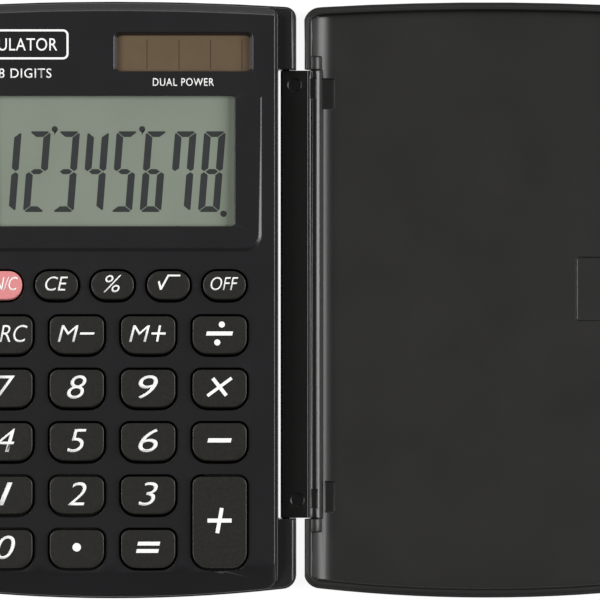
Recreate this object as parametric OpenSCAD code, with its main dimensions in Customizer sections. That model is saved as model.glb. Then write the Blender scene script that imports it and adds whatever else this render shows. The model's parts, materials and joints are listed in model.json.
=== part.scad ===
// Pocket calculator with a folding cover, laid open flat.
// Millimetres, +Z up, +Y towards the display end. The body lies left of the hinge and the cover
// right of it. The origin is on the table, half way between the two.

/* [Overall] */
// Width of the body, and of the cover that closes over it
body_w = 60; // [60:1:76]
// Length of the body over its two bowed ends
body_l = 98; // [98:1:120]
// How much shorter the cover is than the body
cover_short = 0.2; // [0.2:0.1:1.2]
// Gap between body and cover when they lie open
spine_gap = 1.2; // [1:0.1:1.6]
// Bow of the display end, from its corners to its middle
top_bow = 0.95; // [0.4:0.05:1.4]
// Bow of the key end, from its corners to its middle
bottom_bow = 1.8; // [1:0.1:2.4]
// Corner radius at the display end
top_corner_r = 1.9; // [1.5:0.1:3]
// Corner radius at the key end
bottom_corner_r = 2.4; // [1.5:0.1:3]

/* [Case] */
// Side wall of both case halves
wall = 1.2; // [1:0.1:1.4]
// Floor of the lower case
floor_t = 1.2; // [1.1:0.1:1.4]
// Height of the lower case's rim, where the two halves part
split_z = 3.4; // [3.3:0.1:3.6]
// Top plate of the upper case
plate_t = 1.2; // [1:0.1:1.4]
// Width of the lower case's lip that shows round the upper case
lip = 0.35; // [0.25:0.05:0.5]
// Chamfer round the bottom of the lower case
foot_chamfer = 0.7; // [0.4:0.1:1]
// Run of the steep bevel at the display end and the free side
bevel_run = 0.4; // [0.3:0.1:1]
// Run of the long slope at the key end
slope_run = 2.8; // [1:0.1:4]
// Lean of the step down to the hinge ledge
step_lean = 0.35; // [0.2:0.05:0.5]
// Radius along the outer edge of the hinge ledge
ledge_r = 0.5; // [0.3:0.1:1.3]

/* [Hinge] */
// Height of both hinge pins above the table
hinge_z = 2.3; // [2.3:0.1:2.8]
// Gap between the backs of body and cover when the cover is folded behind
back_gap = 0.1; // [0.1:0.05:0.4]
// Radius of the stub pins
pin_r = 0.6; // [0.45:0.05:0.65]
// Radial clearance of a pin in its bore
pin_fit = 0.05; // [0.03:0.01:0.08]
// Length of a stub pin beyond the link
pin_l = 2.2; // [1.6:0.1:3]
// Length of the link between its ends
link_l = 73.5; // [60:0.5:76]
// How far the link sits towards the display end
link_shift = 0.95; // [0:0.05:1.5]
// Gap at each end of the link
link_end_gap = 0.12; // [0.1:0.01:0.4]
// Thickness of the link's flat leaf
leaf_t = 1.7; // [1.3:0.1:1.8]
// Radius of the link's barrel
barrel_r = 1.36; // [1.2:0.02:1.4]
// Gap between the leaf and the body
leaf_gap = 0.37; // [0.3:0.01:0.5]
// Gap between the barrel and the cover
barrel_gap = 0.15; // [0.1:0.01:0.3]
// Gap between the leaf and the cover's lip when the cover is folded behind
lip_gap = 0.15; // [0.1:0.01:0.4]
// Height of the hinge ledge above the pins
ledge_rise = 2.5; // [2:0.1:2.6]

/* [Cover] */
// Depth of the cover from its outside to its rim
cover_t = 3.5; // [3:0.1:3.6]
// Wall and floor of the cover
cover_wall = 1.2; // [1:0.1:1.3]
// Width of the step round the outside of the cover's rim
rim_step_w = 0.6; // [0.3:0.05:0.8]
// Depth of the step round the outside of the cover's rim
rim_step_h = 0.25; // [0.1:0.05:0.4]
// Gap between the case's shelf and the wall of the closed cover
rim_side_gap = 0.05; // [0.05:0.05:0.3]
// Radius of the cover's four outer corners
cover_corner_r = 2.8; // [2:0.1:3.4]
// Radius of the cover's inner corners at the hinge side
cavity_hinge_r = 1.8; // [1:0.1:2.2]
// Radius of the cover's inner corners at the free edge
cavity_free_r = 0.5; // [0.4:0.1:0.6]
// Outside radius of the cover's curved hinge side
cover_curve_r = 5.2; // [4.8:0.1:5.6]
// Outside radius of the cover's free edge
cover_free_r = 2.4; // [1.8:0.1:3.2]
// Radius of the bosses that hold the cover's pins
knuckle_r = 1.2; // [1.1:0.05:1.3]

/* [Keys] */
// Width of a pad key
pad_key_w = 8.8; // [7:0.1:9.4]
// Length of a pad key
pad_key_l = 6.1; // [5:0.05:6.4]
// Spacing of the pad's columns
column_pitch = 11.65; // [11.3:0.05:12]
// Spacing of the pad's rows
row_pitch = 8.72; // [8.3:0.02:8.8]
// Distance of the pad's last row from the key end
last_row_up = 8.4; // [8.4:0.1:10]
// Width of a small key
small_key_w = 6.95; // [5.7:0.05:7.1]
// Length of a small key
small_key_l = 4.58; // [3.6:0.02:4.6]
// Spacing of the small keys
small_pitch = 9.13; // [9:0.01:10]
// Distance from the pad's first row up to the small keys
small_row_up = 8.14; // [8.1:0.01:8.5]
// How far the lower edge of a key sags in the middle
key_sag = 0.22; // [0:0.02:0.3]
// Gap between a key and its opening
key_gap = 0.3; // [0.2:0.05:0.4]
// Height of the key tops above the face
key_proud = 0.7; // [0.5:0.1:0.9]
// Travel of a key
key_travel = 0.7; // [0.6:0.1:0.8]
// Gap between the key tops and the closed cover
closing_gap = 0.2; // [0.15:0.05:0.4]
// How far a key's retaining flange stands out
flange_out = 0.65; // [0.55:0.05:0.8]
// Thickness of a key's flange
flange_t = 0.6; // [0.4:0.1:0.7]
// Corner radius of the upper corners of a pad key
key_top_r = 1.3; // [0.8:0.1:2]
// Corner radius of the lower corners of a pad key
key_bottom_r = 2.2; // [1:0.1:2.4]

/* [Display and solar cell] */
// Width of the display window
window_w = 39.8; // [32:0.2:40]
// Length of the display window
window_l = 21.3; // [18:0.1:21.4]
// Distance of the window's middle from the display end
window_down = 26.3; // [26.2:0.1:28]
// Frame of the raised display bezel beside the window
bezel_side = 3.9; // [2.5:0.1:4.2]
// Frame of the raised display bezel below the window
bezel_below = 3.6; // [2.5:0.1:3.7]
// Frame of the raised display bezel above the window
bezel_above = 0.9; // [0.6:0.1:1.2]
// Width of the slope round the bezel's edge
bezel_edge = 0.5; // [0.3:0.05:0.7]
// Height of the bezel's lower edge above the face
bezel_rise = 0.35; // [0.1:0.05:0.5]
// Thickness of the clear window
lens_t = 0.6; // [0.4:0.1:0.8]
// Margin of the window behind its opening
lens_margin = 0.8; // [0.5:0.1:1.2]
// Thickness of the display glass
panel_t = 1.8; // [1.4:0.1:1.9]
// Width of the solar opening
solar_w = 20.8; // [16:0.2:21]
// Length of the solar opening
solar_l = 5.3; // [4:0.1:6]
// How far the solar opening flares out at its sides and at its upper edge
solar_flare = 0.9; // [0.3:0.1:1.1]
// How far the solar opening flares out at its lower edge
solar_sill = 0.15; // [0:0.05:0.6]
// Distance of the solar cell's middle from the middle of the body
solar_across = 11.55; // [11.5:0.05:13]
// Distance of the solar cell's middle from the display end
solar_down = 8.85; // [8.4:0.05:9]

/* [Inside] */
// Thickness of the circuit board
board_t = 1.0; // [0.8:0.1:1.1]
// Half width of the circuit board
board_half_w = 21.6; // [19:0.1:21.6]
// Height of a dome pressed flat
flat_dome = 0.7; // [0.6:0.1:0.8]
// Thickness of the rubber mat's sheet
mat_t = 0.4; // [0.3:0.05:0.5]
// Radius of a button cell
cell_r = 5.8; // [5:0.1:5.8]
// Height of a button cell
cell_h = 3.05; // [2.1:0.05:3.1]
// Distance of the cell's middle from the middle of the body
cell_across = 16.5; // [15:0.1:17]
// Distance of the cell's middle from the display end
cell_down = 8.3; // [8.2:0.1:8.6]
// Radius of a case screw's thread
screw_r = 0.8; // [0.6:0.05:0.9]
// Radius of a case screw's head
head_r = 1.5; // [1.2:0.1:1.6]
// Radius of the upper case's screw posts
post_r = 1.6; // [1.3:0.1:1.6]
// Radius of a board screw's thread
board_screw_r = 0.55; // [0.45:0.05:0.6]

/* [Hidden] */
// Heights
hinge_pitch = 2 * hinge_z + back_gap;
closed_h = 2 * hinge_z + hinge_pitch;
face_z = closed_h - cover_wall - closing_gap - key_proud;
plate_z = face_z - plate_t;
key_top_z = face_z + key_proud;
rim_gap = 0.3;
shelf_z = closed_h - cover_t - rim_gap;
shelf_fall = 0.6;
shelf_in = cover_short / 2 + cover_wall + rim_side_gap;
ledge_z = hinge_z + ledge_rise;
slope_in = shelf_in + slope_run * (plate_z - shelf_z) / (face_z - shelf_z);
flange_gap = 0.2;
flange_z = plate_z - flange_gap - flange_t;
board_z = flange_z - key_travel - flat_dome - mat_t;
panel_z = plate_z - panel_t;
dome_gap = 0.1;
reflector_t = 0.2;
solar_cell_t = 1.1;

// Places across the object
body_right = -spine_gap / 2;
body_left = body_right - body_w;
body_mid = (body_left + body_right) / 2;
cover_left = spine_gap / 2;
cover_mid = cover_left + body_w / 2;
cover_l = body_l - cover_short;
body_pin_x = -hinge_pitch / 2;
cover_pin_x = hinge_pitch / 2;
notch_x = body_pin_x - leaf_t / 2 - leaf_gap;
notch_land = 0.18;
step_foot_x = notch_x - notch_land;
step_top_x = step_foot_x - step_lean;
barrel_wall_x = cover_pin_x + barrel_r + barrel_gap;
lip_x = cover_pin_x + leaf_t / 2 + lip_gap;

// Places along the object
link_top = link_shift + link_l / 2;
link_bottom = link_shift - link_l / 2;
notch_top = link_top + link_end_gap;
notch_bottom = link_bottom - link_end_gap;
last_row_y = -body_l / 2 + last_row_up;
pad_rows = 5;
first_row_y = last_row_y + (pad_rows - 1) * row_pitch;
small_row_y = first_row_y + small_row_up;
window_y = body_l / 2 - window_down;
solar_y = body_l / 2 - solar_down;
solar_x = body_mid + solar_across;
cell_x = body_mid - cell_across;
cell_y = body_l / 2 - cell_down;

// Display parts, all placed from the window
window_r = 0.6;
lens_fit = 0.05;
panel_side = 2.2;
panel_above = 0.85;
panel_below = 2.4;
panel_r = 0.3;
panel_edge = 0.4;
panel_top = window_y + window_l / 2 + panel_above;
panel_bottom = window_y - window_l / 2 - panel_below;
reflector_side = 0.8;
zebra_w = 1.6;
zebra_in = 0.5;
zebra_y = panel_bottom + zebra_in;
board_overlap = 2.8;
board_end_in = 5;
board_top = panel_bottom + board_overlap;
board_bottom = -body_l / 2 + board_end_in;
frame_gap = 0.15;
frame_t = 0.8;
frame_drop = 1.0;

// The bezel's corners, and how far it is rooted in the face
bezel_r_low = 2.2;
bezel_r_high = 1.2;
bezel_root = 0.3;

// How much wider the solar cell is than its opening, and the corners of both
solar_margin = 0.8;
solar_cell_r = 0.2;
solar_r = 0.5;
flare_r_low = 0.6;
flare_r_high = 0.9;

// How far posts and ribs reach up into the plate
root = 0.1;

// Case screws: two along the free side's corners and middle, two at the hinge side's, as [x, y]
post_side_in = 3.6;
post_hinge_in = 6.0;
post_top_in = 4.2;
post_bottom_in = 5.8;
post_mid_y = panel_bottom - 2.3;
post_xs = [body_left + post_side_in, body_right - post_hinge_in];
post_ys = [body_l / 2 - post_top_in, post_mid_y, -body_l / 2 + post_bottom_in];
case_posts = [for (x = post_xs) for (y = post_ys) [x, y]];
post_foot_z = 2.2;
boss_wall = 0.7;
head_t = 0.9;
head_sink = 0.1;
thread_up = 2.6;
screw_clear = 0.12;

// Board screws stand where four pad keys meet, as [column line, row line]
board_posts = [for (p = [[-1, 0], [1, 0], [0, 2], [-1, 3]])
    [body_mid + p[0] * column_pitch, first_row_y - (p[1] + 0.5) * row_pitch]];
board_post_r = 1.2;
board_head_r = 1.1;
board_head_t = 0.6;
board_thread_up = 1.8;
thread_short = 0.3;

// Screws: how much slimmer a thread is than its hole, and the driver's cross
thread_fit = 0.02;
cross_w = 0.28;
cross_reach = 0.6;
cross_deep = 0.4;

// Parts on the board: a row of chips, and two cans above it
chip_size = [1.6, 0.9, 0.7];
chip_pitch = 6;
can_r = 1.6;
can_h = 0.9;
can_apart = 20;
can_up = 4;

// Rubber domes
dome_foot_r = 1.9;
dome_top_r = 1.1;
mat_in = 0.3;
mat_above = 3;

// Battery door
door_t = 1.0;
door_half_w = 6.9;
door_half_l = 7.0;
door_fit = 0.1;
door_tongue_r = 2.4;
door_boss_r = 1.8;
door_r = 1;
door_head_sink = 0.12;
door_head_t = 0.48;
door_screw_l = 2.3;
grip_w = 6;
grip_groove = 0.5;
grip_pitch = 1.2;
grip_deep = 0.25;
grip_up = 3;
door_screw_y = cell_y - door_half_l - 2.2;
cup_t = 0.8;
cell_fit = 0.2;
contact_t = 0.3;
cell_z = floor_t + contact_t;

// Smallest corner radius that a drawn-in outline keeps, and the thin slices that hulls run between
least_r = 0.4;
slice = 0.05;
cover_chamfer = 0.9;
relief_deep = 0.25;

corner_steps = 6;
bow_steps = 14;
curve_steps = 12;
sag_steps = 6;
overcut = 1;
$fn = 48;

// Keys as [name, x, y, width, length, lower corner radius, upper corner radius]
SMALL_KEYS = ["key_on_clear", "key_clear_entry", "key_percent", "key_square_root", "key_off"];
PAD_KEYS = [
    ["key_memory_recall", "key_memory_minus", "key_memory_plus", "key_divide"],
    ["key_7", "key_8", "key_9", "key_multiply"],
    ["key_4", "key_5", "key_6", "key_minus"],
    ["key_1", "key_2", "key_3", "key_plus"],
    ["key_0", "key_point", "key_equals"]
];
tall_row = 3;
tall_column = 3;
small_r = small_key_l / 2 - 0.15;

function is_tall(row, column) = row == tall_row && column == tall_column;
function pad_key(row, column) = [
    PAD_KEYS[row][column],
    body_mid + (column - 1.5) * column_pitch,
    first_row_y - (row + (is_tall(row, column) ? 0.5 : 0)) * row_pitch,
    pad_key_w,
    pad_key_l + (is_tall(row, column) ? row_pitch : 0),
    key_bottom_r,
    key_top_r
];
KEYS = concat(
    [for (i = [0:4]) [SMALL_KEYS[i], body_mid + (i - 2) * small_pitch, small_row_y,
        small_key_w, small_key_l, small_r, small_r]],
    [for (row = [0:4]) for (column = [0:len(PAD_KEYS[row]) - 1]) pad_key(row, column)]
);

// ---- Outlines ----

function corner_arc(x, y, r, from) = [for (i = [0:corner_steps])
    [x + r * cos(from + 90 * i / corner_steps), y + r * sin(from + 90 * i / corner_steps)]];

// A box from (x0, y0) to (x1, y1) with its lower and upper corners rounded
function rounded(x0, x1, y0, y1, r_low, r_high) = concat(
    corner_arc(x1 - r_low, y0 + r_low, r_low, -90),
    corner_arc(x1 - r_high, y1 - r_high, r_high, 0),
    corner_arc(x0 + r_high, y1 - r_high, r_high, 90),
    corner_arc(x0 + r_low, y0 + r_low, r_low, 180)
);

// How far an end has dropped back from its middle, at x on a shell whose middle is at mid
function bow(x, mid, depth) = depth * pow((x - mid) / (body_w / 2), 2);

// A shell's outline with both ends bowed: x0 to x1, middle line mid, half length half_l,
// drawn in by inset at the display end and by inset_low at the key end. The corner radii are
// those of the shell before it is drawn in
function bowed(x0, x1, mid, half_l, inset, inset_low, r_top = top_corner_r, r_bottom = bottom_corner_r) =
    let (
        r_high = max(r_top - inset, least_r),
        r_low = max(r_bottom - inset, least_r),
        y_high = half_l - inset,
        y_low = -half_l + inset_low,
        high = function (x) y_high - bow(x, mid, top_bow),
        low = function (x) y_low + bow(x, mid, bottom_bow),
        run_high = x1 - x0 - 2 * r_high,
        run_low = x1 - x0 - 2 * r_low
    )
    concat(
        corner_arc(x1 - r_low, low(x1 - r_low) + r_low, r_low, -90),
        corner_arc(x1 - r_high, high(x1 - r_high) - r_high, r_high, 0),
        [for (i = [1:bow_steps - 1]) let (x = x1 - r_high - run_high * i / bow_steps) [x, high(x)]],
        corner_arc(x0 + r_high, high(x0 + r_high) - r_high, r_high, 90),
        corner_arc(x0 + r_low, low(x0 + r_low) + r_low, r_low, 180),
        [for (i = [1:bow_steps - 1]) let (x = x0 + r_low + run_low * i / bow_steps) [x, low(x)]]
    );

// ---- Helpers ----

module prism(points, z0, z1) translate([0, 0, z0]) linear_extrude(z1 - z0) polygon(points);

module block(x0, x1, y0, y1, z0, z1) translate([x0, y0, z0]) cube([x1 - x0, y1 - y0, z1 - z0]);

module body_slab(inset, z0, z1) prism(
    bowed(body_left + inset, body_right - inset, body_mid, body_l / 2, inset, inset), z0, z1);

module cover_slab(inset, z0, z1, r = cover_corner_r) prism(
    bowed(cover_left + inset, cover_left + body_w - inset, cover_mid, cover_l / 2, inset, inset, r, r),
    z0, z1);

// A cylinder along Y
module rod(x, z, r, y0, y1) translate([x, y1, z]) rotate([90, 0, 0]) cylinder(r = r, h = y1 - y0);

// A flat section in the XZ plane, drawn out along Y over the whole object
module along_y(points) rotate([90, 0, 0]) linear_extrude(2 * body_l, center = true) polygon(points);

// A key's outline drawn out by grow, its lower side sagging in the middle
function key_outline(k, grow) =
    let (
        half_w = k[3] / 2 + grow,
        half_l = k[4] / 2 + grow,
        r_low = k[5] + grow,
        r_high = k[6] + grow,
        run = half_w - r_low,
        low = concat(
            corner_arc(k[1] - run, k[2] - half_l + r_low, r_low, 180),
            [for (i = [1:sag_steps - 1]) [k[1] + run * (2 * i / sag_steps - 1), k[2] - half_l]],
            corner_arc(k[1] + run, k[2] - half_l + r_low, r_low, -90)
        )
    )
    concat(
        corner_arc(k[1] + half_w - r_high, k[2] + half_l - r_high, r_high, 0),
        corner_arc(k[1] - half_w + r_high, k[2] + half_l - r_high, r_high, 90),
        [for (p = low) [p[0], p[1] - key_sag * (1 - pow((p[0] - k[1]) / half_w, 2))]]
    );

function window_box(grow, r) = rounded(
    body_mid - window_w / 2 - grow, body_mid + window_w / 2 + grow,
    window_y - window_l / 2 - grow, window_y + window_l / 2 + grow, r, r
);

function panel_box(grow) = rounded(
    body_mid - window_w / 2 - panel_side - grow, body_mid + window_w / 2 + panel_side + grow,
    panel_bottom - grow, panel_top + grow, panel_r, panel_r
);

function solar_box(grow, r) = rounded(
    solar_x - solar_w / 2 - grow, solar_x + solar_w / 2 + grow,
    solar_y - solar_l / 2 - grow, solar_y + solar_l / 2 + grow, r, r
);

// ---- Lower case ----

module notch(z0, z1, x) block(x, overcut, notch_bottom, notch_top, z0, z1);

module lower_case_shell() difference() {
    hull() {
        body_slab(foot_chamfer, 0, slice);
        body_slab(0, foot_chamfer, split_z);
    }
    intersection() {
        body_slab(wall, floor_t, split_z + overcut);
        block(body_left, notch_x - wall, -body_l, body_l, floor_t, split_z + overcut);
    }
    notch(-overcut, split_z + overcut, notch_x);
}

module cell_cup() difference() {
    translate([cell_x, cell_y, floor_t / 2])
        cylinder(r = cell_r + cell_fit + cup_t, h = split_z - floor_t / 2);
    block(cell_x - 2 * cell_r, cell_x, cell_y - 3, cell_y + 3, floor_t, split_z + overcut);
    block(cell_x, cell_x + 6, cell_y - 2 * cell_r, cell_y, floor_t, split_z + overcut);
}

module lower_case() color("#26262a") difference() {
    union() {
        lower_case_shell();
        for (p = case_posts) translate([p[0], p[1], floor_t / 2])
            cylinder(r = head_r + boss_wall, h = post_foot_z - floor_t / 2);
        cell_cup();
        translate([cell_x, door_screw_y, floor_t / 2]) cylinder(r = door_boss_r, h = split_z - floor_t);
    }
    for (p = case_posts) translate([p[0], p[1], 0]) {
        translate([0, 0, -overcut]) cylinder(r = screw_r + screw_clear, h = 2 * split_z);
        translate([0, 0, -overcut]) cylinder(r = head_r + screw_clear, h = overcut + head_sink + head_t);
    }
    prism(door_outline(door_fit), -overcut, door_t);
    translate([cell_x, cell_y, -overcut]) cylinder(r = cell_r + cell_fit, h = 2 * split_z);
    translate([cell_x, door_screw_y, -overcut]) cylinder(r = screw_r, h = 2 * split_z);
    rod(body_pin_x, hinge_z, pin_r + pin_fit, notch_bottom - pin_l, notch_top + pin_l);
}

// ---- Upper case ----

// The raised face, in two bevels: a shelf for the cover's rim and a steeper rise to the face
module face_block() {
    hull() {
        prism(bowed(body_left + lip, step_foot_x, body_mid, body_l / 2, lip, lip),
            split_z, shelf_z - shelf_fall);
        prism(bowed(body_left + shelf_in, step_foot_x, body_mid, body_l / 2, shelf_in, shelf_in),
            shelf_z - slice, shelf_z);
    }
    hull() {
        prism(bowed(body_left + shelf_in, step_foot_x, body_mid, body_l / 2, shelf_in, shelf_in),
            shelf_z - slice, shelf_z);
        prism(bowed(body_left + shelf_in + bevel_run, step_top_x, body_mid, body_l / 2,
            shelf_in + bevel_run, shelf_in + slope_run), face_z - slice, face_z);
    }
}

// The low ledge over the hinge side, with its outer edge rounded along Y
module hinge_ledge() intersection() {
    body_slab(lip, split_z, ledge_z);
    along_y(concat(
        [[step_foot_x - wall, split_z - overcut], [body_right - lip, split_z - overcut]],
        corner_arc(body_right - lip - ledge_r, ledge_z - ledge_r, ledge_r, 0),
        [[step_foot_x - wall, ledge_z]]
    ));
}

function bezel_box(grow) = rounded(
    body_mid - window_w / 2 - bezel_side - grow, body_mid + window_w / 2 + bezel_side + grow,
    window_y - window_l / 2 - bezel_below - grow, window_y + window_l / 2 + bezel_above + grow,
    bezel_r_low + grow, bezel_r_high + grow
);

// The raised bezel: a wedge that falls to the face at its upper edge, with sloped edges
module bezel() intersection() {
    hull() {
        prism(bezel_box(bezel_edge), face_z - bezel_root, face_z);
        prism(bezel_box(0), face_z + bezel_rise - slice, face_z + bezel_rise);
    }
    translate([body_left, 0, 0]) rotate([90, 0, 90]) linear_extrude(body_w) polygon([
        [window_y - window_l, face_z - bezel_root],
        [window_y + window_l / 2 + bezel_above, face_z - bezel_root],
        [window_y + window_l / 2 + bezel_above, face_z],
        [window_y - window_l / 2 - bezel_below, face_z + bezel_rise],
        [window_y - window_l, face_z + bezel_rise]
    ]);
}

module frame_rib(outer, inner) difference() {
    prism(outer, plate_z - frame_drop, plate_z + root);
    prism(inner, plate_z - frame_drop - overcut, plate_z);
}

module upper_case() color("#2b2b2e") difference() {
    union() {
        difference() {
            union() {
                face_block();
                hinge_ledge();
            }
            prism(bowed(body_left + lip + wall, step_foot_x - wall, body_mid, body_l / 2,
                lip + wall, lip + wall), split_z - overcut, shelf_z - shelf_fall);
            prism(bowed(body_left + shelf_in + wall, step_foot_x - wall, body_mid, body_l / 2,
                shelf_in + wall, slope_in + wall), split_z - overcut, plate_z);
        }
        bezel();
        frame_rib(panel_box(frame_gap + frame_t), panel_box(frame_gap));
        frame_rib(solar_box(solar_margin + frame_gap + frame_t, flare_r_low),
            solar_box(solar_margin + frame_gap, panel_r));
        for (p = case_posts) translate([p[0], p[1], post_foot_z])
            cylinder(r = post_r, h = plate_z - post_foot_z + root);
        for (p = board_posts) translate([p[0], p[1], board_z])
            cylinder(r = board_post_r, h = plate_z - board_z + root);
    }
    notch(0, face_z, notch_x);
    for (k = KEYS) prism(key_outline(k, key_gap), plate_z - overcut, face_z + overcut);
    prism(window_box(0, window_r), plate_z - overcut, face_z + overcut);
    prism(window_box(lens_margin, window_r), plate_z - overcut, plate_z + lens_t);
    hull() {
        prism(solar_box(0, solar_r), plate_z - overcut, plate_z);
        prism(rounded(solar_x - solar_w / 2 - solar_flare, solar_x + solar_w / 2 + solar_flare,
            solar_y - solar_l / 2 - solar_sill, solar_y + solar_l / 2 + solar_flare,
            flare_r_low, flare_r_high),
            face_z, face_z + overcut);
    }
    for (p = case_posts) translate([p[0], p[1], 0]) cylinder(r = screw_r, h = post_foot_z + thread_up);
    for (p = board_posts) translate([p[0], p[1], 0])
        cylinder(r = board_screw_r, h = board_z + board_thread_up);
}

// ---- Display ----

module display_lens() color("#c4c9c0") prism(
    window_box(lens_margin - lens_fit, window_r - lens_fit), plate_z, plate_z + lens_t);

module lcd_panel() color("#8a9184") {
    prism(panel_box(0), panel_z + panel_t / 2, plate_z);
    block(body_mid - window_w / 2 - panel_side, body_mid + window_w / 2 + panel_side,
        panel_bottom, panel_top - panel_edge, panel_z, panel_z + panel_t / 2);
}

module lcd_reflector() color("#a9aea2") block(
    body_mid - window_w / 2 - reflector_side, body_mid + window_w / 2 + reflector_side,
    board_top + panel_edge, panel_top - panel_edge, panel_z - reflector_t, panel_z);

module zebra_connector() color("#3a3a3d") block(
    body_mid - window_w / 2, body_mid + window_w / 2, zebra_y, zebra_y + zebra_w, board_z, panel_z);

// ---- Solar cell ----

module solar_cell() color("#5d4c3a") prism(
    solar_box(solar_margin, solar_cell_r), plate_z - solar_cell_t, plate_z);

// Two insulated wires from the back of the cell, round the display and down to the board
module solar_leads() color("#8c2f26") for (i = [0, 1]) {
    lead_r = 0.3;
    x_turn = body_mid + window_w / 2 + panel_side + 1.6 + i * 0.9;
    x_cell = solar_x + solar_w / 2 - 1 - i * 2;
    z_run = plate_z - solar_cell_t - lead_r;
    y_turn = panel_top + 1.4 + i * 0.9;
    y_end = board_top - 0.6 - i * 0.9;
    x_end = body_mid + board_half_w - 0.6;
    rod(x_cell, z_run, lead_r, y_turn, solar_y);
    translate([x_cell, y_turn, z_run]) rotate([0, 90, 0]) cylinder(r = lead_r, h = x_turn - x_cell);
    for (p = [[x_cell, y_turn], [x_turn, y_turn]]) translate([p[0], p[1], z_run]) sphere(r = lead_r);
    rod(x_turn, z_run, lead_r, y_end, y_turn);
    translate([x_turn, y_end, z_run]) sphere(r = lead_r);
    translate([x_turn, y_end, board_z + lead_r]) cylinder(r = lead_r, h = z_run - board_z - lead_r);
    translate([x_turn, y_end, board_z + lead_r]) sphere(r = lead_r);
    translate([x_end, y_end, board_z + lead_r]) rotate([0, 90, 0]) cylinder(r = lead_r, h = x_turn - x_end);
}

// ---- Board and rubber mat ----

module circuit_board() color("#2f5d3a") difference() {
    block(body_mid - board_half_w, body_mid + board_half_w, board_bottom, board_top,
        board_z - board_t, board_z);
    for (p = board_posts) translate([p[0], p[1], board_z - 2 * board_t])
        cylinder(r = board_screw_r + screw_clear, h = 3 * board_t);
}

module chip_blob() color("#141416") {
    blob_r = 4.5;
    blob_h = 0.8;
    ball_r = (blob_r * blob_r + blob_h * blob_h) / (2 * blob_h);
    translate([body_mid, first_row_y - row_pitch, board_z - board_t]) intersection() {
        translate([0, 0, ball_r - blob_h]) sphere(r = ball_r, $fn = 160);
        translate([0, 0, -blob_h]) cylinder(r = blob_r - 0.2, h = blob_h);
    }
}

module board_components() color("#a9814f") {
    part_y = first_row_y + 0.45 * row_pitch;
    under = board_z - board_t;
    for (i = [-2:2]) translate([body_mid + i * chip_pitch, part_y, under - chip_size[2] / 2])
        cube(chip_size, center = true);
    for (i = [-1, 1]) translate([body_mid + i * can_apart / 2, part_y + can_up, under - can_h])
        cylinder(r = can_r, h = can_h);
}

module key_mat() color("#4a4a4d") difference() {
    union() {
        block(body_mid - board_half_w + mat_in, body_mid + board_half_w - mat_in,
            board_bottom + mat_in, small_row_y + mat_above, board_z, board_z + mat_t);
        for (k = KEYS) for (y = dome_ys(k)) translate([k[1], y, board_z + mat_t])
            cylinder(r1 = dome_foot_r, r2 = dome_top_r, h = flange_z - dome_gap - board_z - mat_t);
    }
    for (p = board_posts) translate([p[0], p[1], board_z - overcut]) cylinder(r = board_post_r + 0.15, h = 3);
}

// One dome under a key, and two under the tall one
function dome_ys(k) = k[4] > 2 * k[3] / 1.5 ? [k[2] - row_pitch / 2, k[2] + row_pitch / 2] : [k[2]];

// ---- Battery ----

function door_outline(grow) = concat(
    corner_arc(cell_x, door_screw_y, door_tongue_r + grow, 180),
    corner_arc(cell_x, door_screw_y, door_tongue_r + grow, 270),
    [[cell_x + door_tongue_r + grow, cell_y - door_half_l - grow]],
    [[cell_x + door_half_w + grow, cell_y - door_half_l - grow]],
    corner_arc(cell_x + door_half_w - door_r, cell_y + door_half_l - door_r, door_r + grow, 0),
    corner_arc(cell_x - door_half_w + door_r, cell_y + door_half_l - door_r, door_r + grow, 90),
    [[cell_x - door_half_w - grow, cell_y - door_half_l - grow]],
    [[cell_x - door_tongue_r - grow, cell_y - door_half_l - grow]]
);

module battery_door() color("#242428") difference() {
    prism(door_outline(0), 0, door_t);
    translate([cell_x, door_screw_y, -overcut]) cylinder(r = screw_r + screw_clear, h = 2 * split_z);
    translate([cell_x, door_screw_y, -overcut]) cylinder(
        r = head_r + screw_clear, h = overcut + door_head_sink + door_head_t);
    for (i = [-1:1]) translate([cell_x, cell_y + grip_up + i * grip_pitch, 0])
        cube([grip_w, grip_groove, 2 * grip_deep], center = true);
}

module button_cell() color("#c9cbcd") translate([cell_x, cell_y, cell_z]) {
    cylinder(r = cell_r - 1, h = 0.3);
    translate([0, 0, 0.3]) cylinder(r = cell_r, h = cell_h - 0.3);
}

// A spring leaf against the can's side, and its tail along the case to the board
module contact_positive() color("#d8c58a") {
    leaf_x = cell_x - cell_r - contact_t;
    tail_y = board_top - 1.4;
    block(leaf_x, leaf_x + contact_t, cell_y - 2.4, cell_y + 2.4, cell_z + 0.4, board_z + 0.7);
    block(leaf_x, leaf_x + contact_t, tail_y, cell_y - 2, split_z, board_z + 0.9);
    block(leaf_x, body_mid - board_half_w + 1.2, tail_y, tail_y + 1.2, board_z, board_z + contact_t);
}

// A leaf under the cell, its tail along the floor, and a riser to the board
module contact_negative() color("#d8c58a") {
    tail_x = cell_x + 3.6;
    tail_y = board_top - 1;
    block(tail_x - 5, tail_x + 0.8, cell_y - 2, cell_y, floor_t, floor_t + contact_t);
    block(tail_x - 0.8, tail_x + 0.8, tail_y, cell_y - 1, floor_t, floor_t + contact_t);
    block(tail_x - 0.8, tail_x + 0.8, tail_y, tail_y + contact_t, floor_t, board_z - board_t);
}

// ---- Screws ----

module screw(x, y, z, r, length, head, head_h) translate([x, y, z]) difference() {
    union() {
        cylinder(r = head, h = head_h);
        cylinder(r = r, h = length);
    }
    for (a = [0, 90]) rotate(a) translate([-head * cross_reach, -cross_w / 2, -overcut])
        cube([2 * head * cross_reach, cross_w, overcut + cross_deep]);
}

module battery_door_screw() color("#b8babd") screw(
    cell_x, door_screw_y, door_head_sink, screw_r - thread_fit, door_screw_l, head_r, door_head_t);

module case_screws() color("#b8babd") for (p = case_posts)
    screw(p[0], p[1], head_sink, screw_r - thread_fit,
        post_foot_z + thread_up - head_sink - thread_short, head_r, head_t);

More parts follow.
